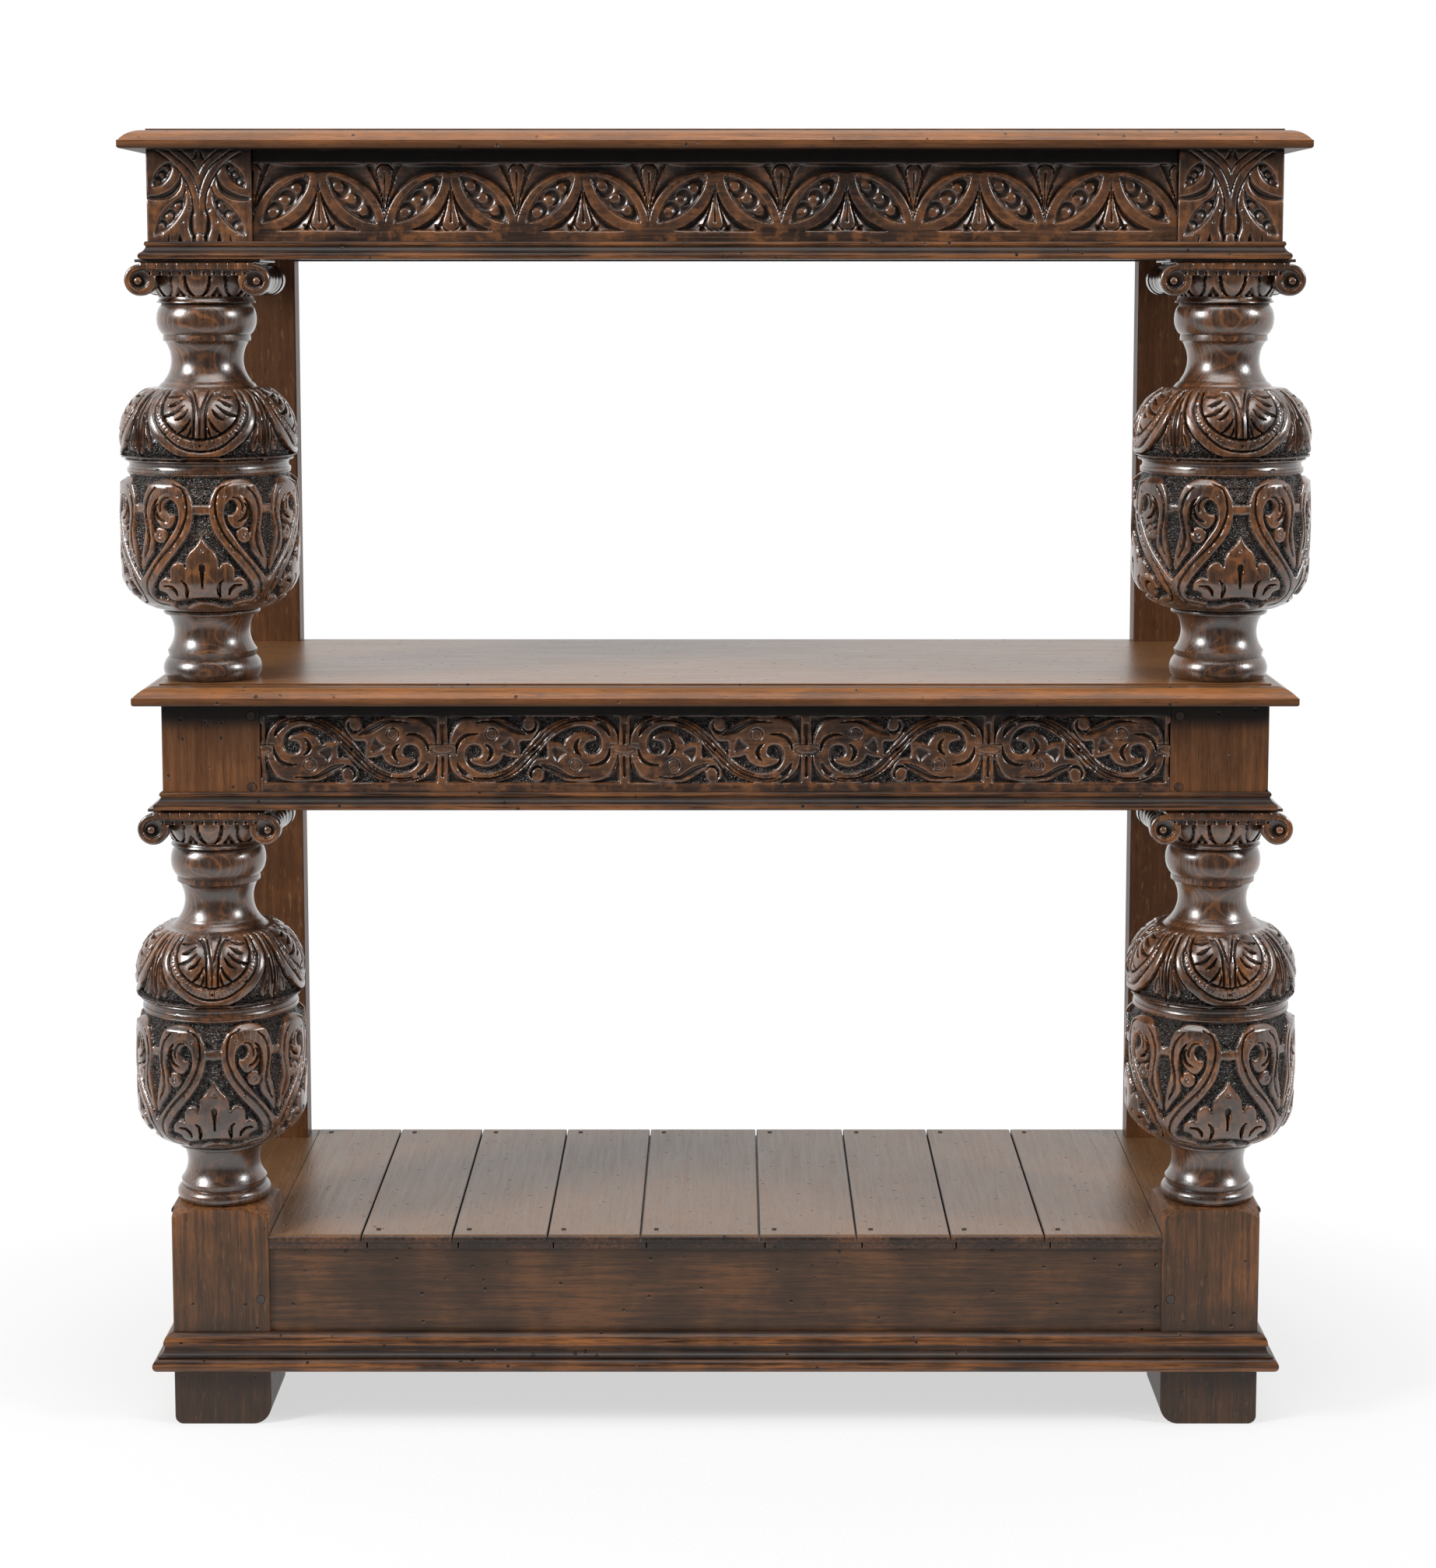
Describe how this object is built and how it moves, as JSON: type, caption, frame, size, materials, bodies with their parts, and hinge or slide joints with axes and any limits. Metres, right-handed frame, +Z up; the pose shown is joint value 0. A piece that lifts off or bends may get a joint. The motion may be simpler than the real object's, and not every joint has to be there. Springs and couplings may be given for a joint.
{
  "type": "court cupboard",
  "caption": "Open oak court cupboard with carved friezes, bulbous turned front supports, plain rear posts and a boarded bottom shelf.",
  "frame": {"origin": "on the floor, at the middle of the space that the cupboard takes up", "axes": "+Z up, +X to the right seen from the front, +Y towards the back; the front faces -Y"},
  "size_m": [1.2032, 0.423, 1.3185],
  "materials": {
    "oak_turned": "dark waxed oak, turned and carved, polished on the high places",
    "oak_carved": "dark waxed oak with carved relief and a punched ground",
    "oak_boards": "waxed oak boards with a soft sheen",
    "oak_frame": "dark waxed oak posts and rails",
    "oak_mouldings": "waxed oak mouldings, worn orange-brown on the edges",
    "nail_iron": "old dark iron nails"
  },
  "bodies": {
    "root": {"base_moulding_front": "oak_mouldings", "base_moulding_left": "oak_mouldings", "base_moulding_right": "oak_mouldings", "base_rail_back": "oak_frame", "base_rail_front": "oak_frame", "base_rail_left": "oak_frame", "base_rail_right": "oak_frame", "joint_pegs": "oak_frame", "lower_baluster_left": "oak_turned", "lower_baluster_right": "oak_turned", "lower_capital_left": "oak_turned", "lower_capital_right": "oak_turned", "middle_board": "oak_boards", "middle_frieze_block_left": "oak_frame", "middle_frieze_block_right": "oak_frame", "middle_frieze_moulding_front": "oak_mouldings", "middle_frieze_moulding_left": "oak_mouldings", "middle_frieze_moulding_right": "oak_mouldings", "middle_frieze_rail_back": "oak_frame", "middle_frieze_rail_front": "oak_carved", "middle_frieze_rail_left": "oak_frame", "middle_frieze_rail_right": "oak_frame", "plinth_post_left": "oak_frame", "plinth_post_right": "oak_frame", "rear_post_left": "oak_frame", "rear_post_right": "oak_frame", "shelf_board_1": "oak_boards", "shelf_board_2": "oak_boards", "shelf_board_3": "oak_boards", "shelf_board_4": "oak_boards", "shelf_board_5": "oak_boards", "shelf_board_6": "oak_boards", "shelf_board_7": "oak_boards", "shelf_board_8": "oak_boards", "shelf_board_9": "oak_boards", "shelf_end_board_left": "oak_boards", "shelf_end_board_right": "oak_boards", "shelf_nails": "nail_iron", "top_board": "oak_boards", "upper_baluster_left": "oak_turned", "upper_baluster_right": "oak_turned", "upper_capital_left": "oak_turned", "upper_capital_right": "oak_turned", "upper_frieze_block_left": "oak_carved", "upper_frieze_block_right": "oak_carved", "upper_frieze_moulding_front": "oak_mouldings", "upper_frieze_moulding_left": "oak_mouldings", "upper_frieze_moulding_right": "oak_mouldings", "upper_frieze_rail_back": "oak_frame", "upper_frieze_rail_front": "oak_carved", "upper_frieze_rail_left": "oak_frame", "upper_frieze_rail_right": "oak_frame"}
  },
  "joints": []
}
